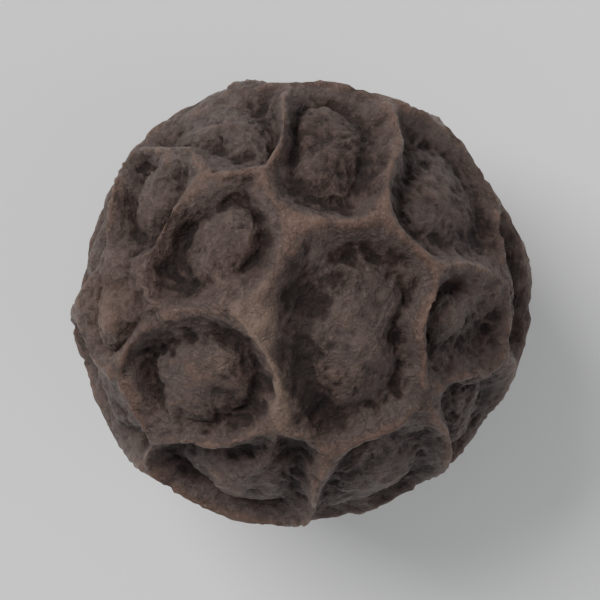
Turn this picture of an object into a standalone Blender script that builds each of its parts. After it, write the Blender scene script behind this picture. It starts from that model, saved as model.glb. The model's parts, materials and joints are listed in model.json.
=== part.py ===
"""One black peppercorn: a berry picked green and dried until its skin shrank onto the round seed.

The skin has folded into a raised net of ridges that wander over the ball. Between them it lies in
shallow cells: a groove at the foot of the ridges, round a low pad where the skin sits on the seed.
Two small cells face each other: the pit of the stalk scar, and the blunt tip of the flower.
The berry is one solid. It stands on three meetings of ridges round a cell whose pad is pressed
flat, all of them at z = 0.
"""

import math
import random

import bmesh
import bpy
from mathutils import Matrix, Vector

MM = 0.001

# Driving dimensions
BALL = 2.38 * MM  # radius of the ball that the skin is raised from
SEAT_LEVEL = 2.55 * MM  # from the middle of the berry down to what it stands on
RIDGE_FOOT = 0.24 * MM  # from the middle of a ridge to the groove at its foot

# Heights over the ball. A crest and a pad rise from the groove between them.
GROOVE = 0.04 * MM
CREST = 0.36 * MM
CREST_SPREAD = 0.07 * MM
CREST_POINT = 0.6  # 0 leaves the flanks of a ridge straight, more makes its top narrower
SPUR = 0.27 * MM
PAD = 0.16 * MM
PAD_SPREAD = 0.06 * MM
SCAR_RIM = 0.42 * MM
SCAR_PIT = -0.10 * MM
TIP_KNOB = 0.29 * MM
TIP_POINT = 0.50 * MM

# What it stands on: the three points, the flat pad between them, and the room under all else
REST_ANGLE = math.radians(27)  # from straight down
REST_TURNS = (math.radians(100), math.radians(220), math.radians(340))
REST_RISE = 0.36 * MM
FLAT_PAD = 2.2  # 1 presses a single point level, and more than 1 a flat round it
CLEARANCE = 0.16 * MM
LEVEL_WITHIN = 0.001 * MM  # a vertex this near to the surface lies exactly on it

# The net. Cell centres are directions from the middle of the berry.
CELL_COUNT = 30
TIP = Vector((-0.82, -0.05, 0.57)).normalized()
STALK = Vector((0.86, 0.08, -0.50)).normalized()
SEAT = Vector((0, 0, -1))
POLE_CELL = math.radians(9)  # the middle of any other cell lies further than this from a pole
RING_CELLS = 5  # round the tip, and as many round the stalk scar
RING_ANGLE = math.radians(27)
SEAT_RING = math.radians(28.6)  # the three cells round the seat meet at the rest points
PLACED_CELLS = (
    (0.27, -0.13, 0.95),
    (-0.43, 0.25, 0.87),
    (-0.53, -0.34, 0.77),
    (-0.42, 0.72, 0.55),
    (0.16, 0.70, 0.69),
    (0.66, 0.50, 0.56),
    (-0.24, -0.82, 0.52),
    (0.34, -0.86, 0.38),
    (0.80, -0.52, 0.30),
    (0.97, 0.02, 0.24),
)
CANDIDATES = 40  # tries for each cell centre that is placed at random
SHORTEST_RIDGE = 0.12  # junctions nearer than this, on a berry of radius 1, are one
LONG_RIDGE = 0.51  # ridges longer than this have a bend
BEND_REACH = 0.16  # how far a bend lies to the side, as a share of the ridge's length
SPUR_SHARE = 0.45  # of the cells that have a short ridge running in from one corner
GROOVE_SPREAD = 0.30  # how unevenly wide the ridges are, as a share of their width
PAD_SHIFT = 0.25  # how far a pad leans to one corner, as a share of the way there
SEED = 14

# Wandering of the ridges over the ball, and the ball's own unevenness
WANDER_SIZE = 1.2 * MM
WANDER_REACH = 0.55 * MM
ROUNDNESS = 0.90
CRUMPLE_SIZE = 0.6 * MM
CRUMPLE_REACH = 0.08 * MM

SKIN_COLOUR = (0.052, 0.036, 0.030, 1.0)
SKIN_ROUGHNESS = 0.62


def clear_scene():
    for obj in list(bpy.data.objects):
        bpy.data.objects.remove(obj)


def ring_round(pole):
    """Directions evenly spaced on a small circle round a pole."""
    side = pole.orthogonal().normalized() * math.sin(RING_ANGLE)
    for step in range(RING_CELLS):
        turn = Matrix.Rotation(math.tau * step / RING_CELLS, 3, pole)
        yield (pole * math.cos(RING_ANGLE) + turn @ side).normalized()


def below(angle, turn):
    """The direction at an angle from straight down, turned about the upright axis."""
    return Vector((math.sin(angle) * math.cos(turn), math.sin(angle) * math.sin(turn), -math.cos(angle)))


def random_direction(draw):
    height = draw.uniform(-1, 1)
    angle = draw.uniform(0, math.tau)
    across = math.sqrt(1 - height * height)
    return Vector((across * math.cos(angle), across * math.sin(angle), height))


def cell_centres(draw):
    """The placed centres, then random ones, each as far from the others as its tries allow."""
    centres = [TIP, STALK, SEAT, *(Vector(spot).normalized() for spot in PLACED_CELLS)]
    centres += [below(SEAT_RING, turn + math.pi) for turn in REST_TURNS]
    for spot in (*ring_round(TIP), *ring_round(STALK)):
        if min(spot.angle(other) for other in centres) > RING_ANGLE * 0.8:
            centres.append(spot)
    while len(centres) < CELL_COUNT:
        tries = [random_direction(draw) for _ in range(CANDIDATES)]
        centres.append(max(tries, key=lambda t: min(t.angle(c) for c in centres)))
    return centres


def net_of(centres):
    """A closed mesh of radius 1 with one face for each centre: all that lies nearest to it."""
    hull = bmesh.new()
    for centre in centres:
        hull.verts.new(centre)
    bmesh.ops.convex_hull(hull, input=hull.verts)
    bmesh.ops.recalc_face_normals(hull, faces=hull.faces)
    net = bmesh.new()
    junctions = {face: net.verts.new(face.normal) for face in hull.faces}
    for middle in hull.verts:
        side = middle.co.orthogonal()
        other = middle.co.cross(side)

        def turn(face):
            return math.atan2(face.normal.dot(other), face.normal.dot(side))

        net.faces.new([junctions[face] for face in sorted(middle.link_faces, key=turn)])
    hull.free()
    bmesh.ops.remove_doubles(net, verts=net.verts, dist=SHORTEST_RIDGE)
    return net


def bend_long_ridges(net, draw):
    """Puts a vertex near the middle of each long ridge, off to one side."""
    for edge in list(net.edges):
        length = edge.calc_length()
        if length < LONG_RIDGE:
            continue
        start, end = (vert.co.copy() for vert in edge.verts)
        sideways = (end - start).cross(start).normalized()
        _, bend = bmesh.utils.edge_split(edge, edge.verts[0], draw.uniform(0.4, 0.6))
        bend.co += sideways * length * draw.uniform(-BEND_REACH, BEND_REACH)
        bend.co.normalize()


def place_rest_points(net):
    """Moves the meeting of ridges nearest to each rest direction there."""
    points = []
    for turn in REST_TURNS:
        direction = below(REST_ANGLE, turn)
        nearest = min(net.verts, key=lambda vert: vert.co.angle(direction))
        nearest.co = direction
        points.append(nearest)
    return points


def lay_out_cell(net, face, draw):
    """Splits a cell into the ridge's flanks and the pad, and sets how far each vertex rises."""
    crest, pad, pressed = (net.verts.layers.float[name] for name in ("crest", "pad", "pressed"))
    middle = face.calc_center_median().normalized()
    rim = list(face.verts)
    bmesh.ops.inset_individual(net, faces=[face], thickness=0.0, depth=0.0)
    foot = list(face.verts)
    top = bmesh.ops.poke(net, faces=[face])["verts"][0]
    for vert in (*foot, top):
        vert[crest] = vert[pad] = vert[pressed] = 0.0
    top.co = middle.lerp(draw.choice(foot).co, draw.uniform(0, PAD_SHIFT)).normalized()
    top[pad] = PAD + draw.uniform(-PAD_SPREAD, PAD_SPREAD)
    for vert in foot:
        inward = min(0.5, RIDGE_FOOT / BALL / vert.co.angle(middle))
        inward *= draw.uniform(1 - GROOVE_SPREAD, 1 + GROOVE_SPREAD)
        vert.co = vert.co.lerp(middle, inward).normalized()
    if draw.random() < SPUR_SHARE:
        draw.choice(foot)[crest] = SPUR
    if middle.angle(SEAT) < POLE_CELL:
        top.co = SEAT
        top[pad] = REST_RISE
        top[pressed] = FLAT_PAD
        for vert in foot:
            vert[crest] = 0.0
    if middle.angle(STALK) < POLE_CELL:
        top[pad] = SCAR_PIT
        for vert in rim:
            vert[crest] = SCAR_RIM
    if middle.angle(TIP) < POLE_CELL:
        top[crest] = TIP_POINT
        top[pad] = 0.0
        for vert in foot:
            vert[crest] = TIP_KNOB


def berry_cage():
    """The coarse net on a ball. Each vertex carries how far its crest and its pad rise there."""
    draw = random.Random(SEED)
    net = net_of(cell_centres(draw))
    crest, _, pressed = (net.verts.layers.float.new(name) for name in ("crest", "pad", "pressed"))
    rest_points = place_rest_points(net)
    bend_long_ridges(net, draw)
    for vert in net.verts:
        vert[crest] = CREST + draw.uniform(-CREST_SPREAD, CREST_SPREAD)
        vert[pressed] = 0.0
    for vert in rest_points:
        vert[crest] += REST_RISE
        vert[pressed] = 1.0
    for face in list(net.faces):
        lay_out_cell(net, face, draw)
    bmesh.ops.scale(net, verts=net.verts, vec=Vector.Fill(3, BALL))
    bmesh.ops.recalc_face_normals(net, faces=net.faces)
    mesh = bpy.data.meshes.new("peppercorn")
    net.to_mesh(mesh)
    net.free()
    return mesh


def add_warp(obj, name, size, reach):
    """Moves the skin about by a smooth noise."""
    noise = bpy.data.textures.new(name, "CLOUDS")
    noise.noise_scale = size
    noise.noise_depth = 1
    noise.cloud_type = "COLOR"
    warp = obj.modifiers.new(name, "DISPLACE")
    warp.texture = noise
    warp.texture_coords = "LOCAL"
    warp.direction = "RGB_TO_XYZ"
    warp.strength = reach
    warp.mid_level = 0.5


def round_off(obj):
    """Brings the skin most of the way back onto a ball, so that only its net has wandered."""
    ball = obj.modifiers.new("ball", "CAST")
    ball.cast_type = "SPHERE"
    ball.factor = ROUNDNESS
    ball.use_radius_as_size = False
    ball.size = BALL


def raise_skin(mesh):
    """Lifts the skin to its crests and pads, then moves the origin down to the surface."""
    layers = [mesh.attributes[name].data for name in ("crest", "pad", "pressed")]
    for vert in mesh.vertices:
        crest, pad, pressed = (layer[vert.index].value for layer in layers)
        flank = min(1.0, crest / CREST)
        shoulder = min(1.0, abs(pad) / PAD)
        height = GROOVE + crest * flank**CREST_POINT + pad * (2 - shoulder)
        outward = vert.co.normalized()
        if outward.z < -0.5:
            room = CLEARANCE * math.sqrt(max(0.0, 1 - pressed))
            height = min(height, (SEAT_LEVEL - room) / -outward.z - vert.co.length)
        vert.co += outward * height
        vert.co.z += SEAT_LEVEL
        if vert.co.z < LEVEL_WITHIN:
            vert.co.z = 0.0
    for name in ("crest", "pad", "pressed"):
        mesh.attributes.remove(mesh.attributes[name])


def skin_material():
    material = bpy.data.materials.new("dried_skin")
    material.use_nodes = True
    shader = material.node_tree.nodes["Principled BSDF"]
    shader.inputs["Base Color"].default_value = SKIN_COLOUR
    shader.inputs["Roughness"].default_value = SKIN_ROUGHNESS
    shader.inputs["Metallic"].default_value = 0.0
    return material


def build():
    clear_scene()
    peppercorn = bpy.data.objects.new("peppercorn", berry_cage())
    bpy.context.scene.collection.objects.link(peppercorn)
    bpy.context.view_layer.objects.active = peppercorn
    peppercorn.data.materials.append(skin_material())
    smooth = peppercorn.modifiers.new("skin", "SUBSURF")
    smooth.levels = 2
    smooth.render_levels = 2
    add_warp(peppercorn, "wander", WANDER_SIZE, WANDER_REACH)
    round_off(peppercorn)
    add_warp(peppercorn, "crumple", CRUMPLE_SIZE, CRUMPLE_REACH)
    for modifier in list(peppercorn.modifiers):
        bpy.ops.object.modifier_apply(modifier=modifier.name)
    raise_skin(peppercorn.data)
    peppercorn.data.shade_smooth()


build()
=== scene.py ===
"""One black peppercorn, seen from straight above: the dried berry, the table under it and the studio."""

import json
import math

import bpy
import numpy as np
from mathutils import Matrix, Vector

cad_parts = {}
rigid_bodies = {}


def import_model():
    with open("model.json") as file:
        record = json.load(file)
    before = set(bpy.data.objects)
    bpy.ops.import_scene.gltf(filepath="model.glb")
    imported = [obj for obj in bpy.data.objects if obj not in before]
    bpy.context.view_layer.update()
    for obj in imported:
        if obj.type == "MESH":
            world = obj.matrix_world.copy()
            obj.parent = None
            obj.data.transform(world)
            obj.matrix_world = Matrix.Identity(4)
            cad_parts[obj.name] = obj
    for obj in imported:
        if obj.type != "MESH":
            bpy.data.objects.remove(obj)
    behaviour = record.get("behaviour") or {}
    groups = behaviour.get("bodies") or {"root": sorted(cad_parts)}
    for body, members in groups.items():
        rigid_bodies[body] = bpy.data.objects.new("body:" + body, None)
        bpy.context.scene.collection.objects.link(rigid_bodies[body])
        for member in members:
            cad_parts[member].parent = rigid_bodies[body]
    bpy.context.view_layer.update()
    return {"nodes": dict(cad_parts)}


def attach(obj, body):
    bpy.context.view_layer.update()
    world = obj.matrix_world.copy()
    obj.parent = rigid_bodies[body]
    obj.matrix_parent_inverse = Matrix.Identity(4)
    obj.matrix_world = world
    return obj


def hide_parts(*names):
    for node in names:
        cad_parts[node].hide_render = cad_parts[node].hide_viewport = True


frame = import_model()

# The berry
# A fruit picked green, blanched and dried in the sun. Its flesh shrinks to a thin skin that folds
# over the hard round seed: ridges on the folds, grooves at their feet and low pads between.
MM = 0.001
BERRY_MIDDLE = Vector((0, 0, 2.55 * MM))
STALK_SCAR = BERRY_MIDDLE + Vector((0.86, 0.08, -0.50)) * 2.34 * MM
TIP = BERRY_MIDDLE + Vector((-0.82, -0.05, 0.57)) * 2.80 * MM
PRESSED = 0.06 * MM  # the skin lower than this lies on the table and isn't moved

# Radii from the middle of the berry
GROOVES = 2.42 * MM
CELLS = 2.55 * MM
CRESTS = 2.80 * MM
HIGHEST_CREST = 2.84 * MM

bpy.ops.object.select_all(action="DESELECT")
source = frame["nodes"]["peppercorn"]
source.select_set(True)
bpy.context.view_layer.objects.active = source
bpy.ops.object.duplicate()
berry = bpy.context.active_object
berry.name = "dried_berry"
for key in list(berry.keys()):
    del berry[key]
bpy.ops.object.parent_clear(type="CLEAR_KEEP_TRANSFORM")
berry.data.materials.clear()

bpy.ops.object.mode_set(mode="EDIT")
bpy.ops.mesh.select_all(action="SELECT")
bpy.ops.mesh.remove_doubles(threshold=0.001 * MM)
bpy.ops.mesh.tris_convert_to_quads(face_threshold=math.radians(50), shape_threshold=math.radians(60))
bpy.ops.object.mode_set(mode="OBJECT")
bpy.ops.object.shade_smooth()

finer = berry.modifiers.new("finer", "SUBSURF")
finer.levels = 2
finer.render_levels = 2

# Folds bend the skin, wrinkles run over it in a fine raised net, and creases cross both. The skin is
# drawn tight over the crests, so each pattern is held back there by its own share.
NET = {"noise_basis": "VORONOI_F2_F1", "noise_distortion": "IMPROVED_PERLIN", "distortion": 0.9}
NET_MIDDLE = -0.58  # the mean of such a net's values
loose_skin = []
for vertex in berry.data.vertices:
    if vertex.co.z > PRESSED:
        crest_share = ((vertex.co - BERRY_MIDDLE).length - CELLS) / (CRESTS - CELLS)
        loose_skin.append((vertex.index, min(max(crest_share, 0.0), 1.0)))
for name, held_back, kind, size, depth, middle, settings in (
    ("folds", 0.75, "CLOUDS", 0.55 * MM, 0.100 * MM, 0.5, {"noise_depth": 1}),
    ("wrinkles", 0.15, "DISTORTED_NOISE", 0.32 * MM, -0.034 * MM, NET_MIDDLE, NET),
    ("creases", 0.0, "DISTORTED_NOISE", 0.13 * MM, -0.020 * MM, NET_MIDDLE, NET),
):
    group = berry.vertex_groups.new(name=name)
    for index, crest_share in loose_skin:
        group.add([index], 1.0 - held_back * crest_share, "REPLACE")
    pattern = bpy.data.textures.new(name, kind)
    pattern.noise_scale = size
    for setting, value in settings.items():
        setattr(pattern, setting, value)
    push = berry.modifiers.new(name, "DISPLACE")
    push.texture = pattern
    push.texture_coords = "LOCAL"
    push.vertex_group = name
    push.strength = depth
    push.mid_level = middle
for modifier in list(berry.modifiers):
    bpy.ops.object.modifier_apply(modifier=modifier.name)
for vertex in berry.data.vertices:
    vertex.co.z = max(vertex.co.z, 0.0)

# How far each spot stands proud of the skin round it, kept in the mesh for the colour. Each round
# evens the level out over one more edge, so many rounds compare a spot with the skin further off.
count = len(berry.data.vertices)
spots = np.empty(count * 3)
berry.data.vertices.foreach_get("co", spots)
radii = np.linalg.norm(spots.reshape(-1, 3) - np.array(BERRY_MIDDLE), axis=1)
ends = np.empty(len(berry.data.edges) * 2, dtype=np.int64)
berry.data.edges.foreach_get("vertices", ends)
first_end, second_end = ends[::2], ends[1::2]
neighbours = np.bincount(ends, minlength=count)
for name, rounds, span in (("proud_far", 40, 0.22 * MM), ("proud_near", 8, 0.06 * MM)):
    level = radii.copy()
    for _ in range(rounds):
        level = (np.bincount(first_end, level[second_end], count)
                 + np.bincount(second_end, level[first_end], count)) / neighbours
    proud = berry.data.attributes.new(name, "FLOAT", "POINT")
    proud.data.foreach_set("value", np.clip(0.5 + (radii - level) / span, 0.0, 1.0))

skin = bpy.data.materials.new("dried_pepper_skin")
skin.use_nodes = True
nodes, links = skin.node_tree.nodes, skin.node_tree.links
shader = nodes["Principled BSDF"]
place = nodes.new("ShaderNodeTexCoord").outputs["Object"]


def fill(socket, value):
    """Gives a socket a value, or links another node's output to it."""
    if isinstance(value, bpy.types.NodeSocket):
        links.new(value, socket)
    else:
        socket.default_value = value


def put(made, *values):
    """Fills a node's sockets in order."""
    for socket, value in zip(made.inputs, values):
        fill(socket, value)
    return made


def maths(operation, first, second):
    """One step of arithmetic."""
    made = nodes.new("ShaderNodeMath")
    made.operation = operation
    return put(made, first, second).outputs[0]


def vectors(operation, *values):
    """One step of arithmetic with places."""
    made = nodes.new("ShaderNodeVectorMath")
    made.operation = operation
    return put(made, *values).outputs


def reach(spot):
    """How far the skin is from a spot."""
    return vectors("DISTANCE", place, spot)["Value"]


def stands(name):
    """How far the skin stands proud, as the mesh keeps it."""
    made = nodes.new("ShaderNodeAttribute")
    made.attribute_name = name
    return made.outputs["Fac"]


def grain(scale, detail, roughness, output="Fac"):
    """A noise over the skin, its scale in cells to the metre."""
    made = nodes.new("ShaderNodeTexNoise")
    fill(made.inputs["Vector"], place)
    fill(made.inputs["Scale"], scale)
    fill(made.inputs["Detail"], detail)
    fill(made.inputs["Roughness"], roughness)
    return made.outputs[output]


def stretch(value, low, high, to_low=0.0, to_high=1.0):
    """Maps a value's range from low to high onto another range, and holds it there."""
    return put(nodes.new("ShaderNodeMapRange"), value, low, high, to_low, to_high).outputs[0]


def cover(amount, under, colour):
    """Lays a colour over another."""
    made = nodes.new("ShaderNodeMix")
    made.data_type = "RGBA"
    first_colour, second_colour, mixed_colour = made.inputs[6], made.inputs[7], made.outputs[2]
    fill(made.inputs["Factor"], amount)
    fill(first_colour, under)
    fill(second_colour, (*colour, 1.0))
    return mixed_colour


def bump(pattern, depth, normal=None):
    """Raises the skin by a pattern, on top of another bump."""
    made = nodes.new("ShaderNodeBump")
    fill(made.inputs["Distance"], depth)
    fill(made.inputs["Height"], pattern)
    if normal:
        fill(made.inputs["Normal"], normal)
    return made.outputs[0]


height = stretch(reach(BERRY_MIDDLE), GROOVES, HIGHEST_CREST)
far, near = stands("proud_far"), stands("proud_near")
blotches = grain(600.0, 3.0, 0.5)
mottle = grain(3800.0, 8.0, 0.65)
specks = grain(24000.0, 4.0, 0.6)

# Hairlines part the skin into tiny uneven flakes, and fade out in patches
FLAKES_TO_THE_METRE = 7000.0
FLAKE_BEND = 0.42 * MM
bends = grain(5200.0, 4.0, 0.5, "Color")
flakes = nodes.new("ShaderNodeTexVoronoi")
flakes.feature = "DISTANCE_TO_EDGE"
bent_place = vectors("MULTIPLY_ADD", bends, (FLAKE_BEND, FLAKE_BEND, FLAKE_BEND), place)["Vector"]
fill(flakes.inputs["Vector"], bent_place)
fill(flakes.inputs["Scale"], FLAKES_TO_THE_METRE)
faded = stretch(mottle, 0.42, 0.58, 0.2, 1.0)
hairlines = stretch(flakes.outputs["Distance"], 0.0, 0.22, faded, 1.0)

# How light the skin is: light where it is raised, partly from wear and partly as a painted highlight,
# and dark where it lies low, as painted shade in the grooves. Each pattern counts from its middle value
# and has its own share, on top of a little wear all over.
wear_and_painted_light = 0.042
for pattern, middle, share in (
    (far, 0.0, 0.48),
    (near, 0.0, 0.30),
    (height, 0.0, 0.16),
    (mottle, 0.5, 0.40),
    (blotches, 0.5, 0.50),
    (hairlines, 0.88, 0.13),
):
    wear_and_painted_light = maths("ADD", maths("MULTIPLY", maths("SUBTRACT", pattern, middle), share), wear_and_painted_light)

# Colours from the deepest groove, near-black with painted shade, to the most worn crest, pale with wear
# and painted highlight
TONES = (
    (0.14, (0.0095, 0.0036, 0.0020)),
    (0.32, (0.0190, 0.0081, 0.0048)),
    (0.45, (0.0465, 0.0258, 0.0202)),
    (0.60, (0.0660, 0.0400, 0.0322)),
    (0.95, (0.1170, 0.0675, 0.0482)),
)
tone = nodes.new("ShaderNodeValToRGB")
fill(tone.inputs["Fac"], wear_and_painted_light)
stops = tone.color_ramp.elements
stops[0].position, stops[-1].position = TONES[0][0], TONES[-1][0]
for position, _ in TONES[1:-1]:
    stops.new(position)
for stop, (_, colour) in zip(stops, TONES):
    stop.color = (*colour, 1.0)

# An ash-grey bloom lies on the pads in patches
ASH = (0.0750, 0.0565, 0.0510)
on_pads = maths("MULTIPLY", stretch(far, 0.36, 0.48), stretch(far, 0.72, 0.58))
bloom = maths("MULTIPLY", maths("MULTIPLY", on_pads, stretch(blotches, 0.38, 0.56)), 0.55)
colour = cover(bloom, tone.outputs["Color"], ASH)

# Pale grains dust the skin, most of all the worn crests
PALE_GRAIN = (0.200, 0.155, 0.130)
dust = maths("MULTIPLY", stretch(specks, 0.55, 0.68), stretch(wear_and_painted_light, 0.30, 0.80, 0.06, 0.40))
colour = cover(dust, colour, PALE_GRAIN)

# The scar where the stalk broke off is bare pale fibre, and the dead flower tip is lighter too
BARE_FIBRE = (0.196, 0.127, 0.084)
DEAD_TIP = (0.118, 0.071, 0.048)
in_scar = stretch(reach(STALK_SCAR), 0.50 * MM, 0.28 * MM)
fibre = maths("MULTIPLY", in_scar, stretch(mottle, 0.30, 0.60, 0.45, 0.90))
on_tip = stretch(reach(TIP), 0.60 * MM, 0.15 * MM, 0.0, 0.45)
colour = cover(fibre, colour, BARE_FIBRE)
colour = cover(on_tip, colour, DEAD_TIP)

# One crest by the middle of the upper side is painted paler than the rest: partly rubbed, and partly a
# painted highlight on its lit side
LIT_CREST_PLACE = Vector((-0.20, -0.75, 5.20)) * MM
LIT_RUBBED_CREST = (0.168, 0.115, 0.085)
on_crest = stretch(far, 0.50, 0.75, 0.0, 0.75)
highlight_and_rub = maths("MULTIPLY", stretch(reach(LIT_CREST_PLACE), 1.15 * MM, 0.50 * MM), on_crest)
colour = cover(highlight_and_rub, colour, LIT_RUBBED_CREST)

# Painted shadow: the groove along that crest's right side is painted as one long dark line of shade,
# where the crest shades it
SHADOW_LINE_PLACE = Vector((0.02, -0.48, 5.10)) * MM
SHADOW_LINE_HALF_SIZE = Vector((0.30, 1.10, 2.00)) * MM
PAINTED_SHADOW = (0.0150, 0.0075, 0.0050)
off = vectors("SUBTRACT", place, SHADOW_LINE_PLACE)["Vector"]
share_of_size = vectors("MULTIPLY", off, [1.0 / half for half in SHADOW_LINE_HALF_SIZE])["Vector"]
in_shadow_line = stretch(vectors("LENGTH", share_of_size)["Value"], 1.0, 0.45, 0.0, 0.85)
painted_shadow_depth = maths("MULTIPLY", in_shadow_line, stretch(far, 0.66, 0.48))
painted_shadow_depth = maths("MULTIPLY", painted_shadow_depth, stretch(mottle, 0.62, 0.40, 0.60, 1.0))
colour = cover(painted_shadow_depth, colour, PAINTED_SHADOW)

# The skin is dull in the grooves and a little glossier where it is worn. It is rough on three
# scales: lumps, the hairlines between the flakes, and the specks.
fill(shader.inputs["Base Color"], colour)
fill(shader.inputs["Roughness"], stretch(wear_and_painted_light, 0.20, 0.95, 0.72, 0.46))
fill(shader.inputs["Specular IOR Level"], 0.32)
fill(shader.inputs["Sheen Weight"], 0.03)
fill(shader.inputs["Sheen Roughness"], 0.5)
lumps = bump(mottle, 0.060 * MM)
splits = bump(hairlines, 0.011 * MM, lumps)
fill(shader.inputs["Normal"], bump(specks, 0.014 * MM, splits))
berry.data.materials.append(skin)

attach(berry, "root")
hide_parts("peppercorn")

# The table
# A wide sheet of pale matt card, cut square, that lies flat. The berry isn't fixed to it: it stands
# on its lowest crests.
TABLE_WIDTH = 2.0
bpy.ops.object.select_all(action="DESELECT")
bpy.ops.mesh.primitive_plane_add(size=TABLE_WIDTH)
table = bpy.context.active_object
table.name = "card"
card = bpy.data.materials.new("pale_card")
card.use_nodes = True
card.node_tree.nodes["Principled BSDF"].inputs["Base Color"].default_value = (0.80, 0.80, 0.79, 1)
card.node_tree.nodes["Principled BSDF"].inputs["Roughness"].default_value = 0.9
table.data.materials.append(card)

# The studio
# A wide soft light from the upper left, a weaker one from the right, and pale walls all round. The
# camera hangs over the berry and looks straight down.
for name, spot, size, power in (
    ("window", (-0.42, 0.34, 0.62), 0.42, 7.4),
    ("fill", (0.60, -0.25, 0.45), 0.60, 1.2),
):
    lamp = bpy.data.objects.new(name, bpy.data.lights.new(name, "AREA"))
    lamp.data.size = size
    lamp.data.energy = power
    lamp.location = spot
    lamp.rotation_euler = (-Vector(spot)).to_track_quat("-Z", "Y").to_euler()
    bpy.context.scene.collection.objects.link(lamp)

walls = bpy.data.worlds.new("walls")
walls.use_nodes = True
walls.node_tree.nodes["Background"].inputs["Color"].default_value = (0.95, 0.97, 1.0, 1)
walls.node_tree.nodes["Background"].inputs["Strength"].default_value = 0.46
bpy.context.scene.world = walls

CAMERA_HEIGHT = 46.5 * MM
lens = bpy.data.cameras.new("overhead")
lens.lens = 220
lens.clip_start = 1.0 * MM
camera = bpy.data.objects.new("overhead", lens)
camera.location = (0, 0, CAMERA_HEIGHT)
bpy.context.scene.collection.objects.link(camera)
bpy.context.scene.camera = camera
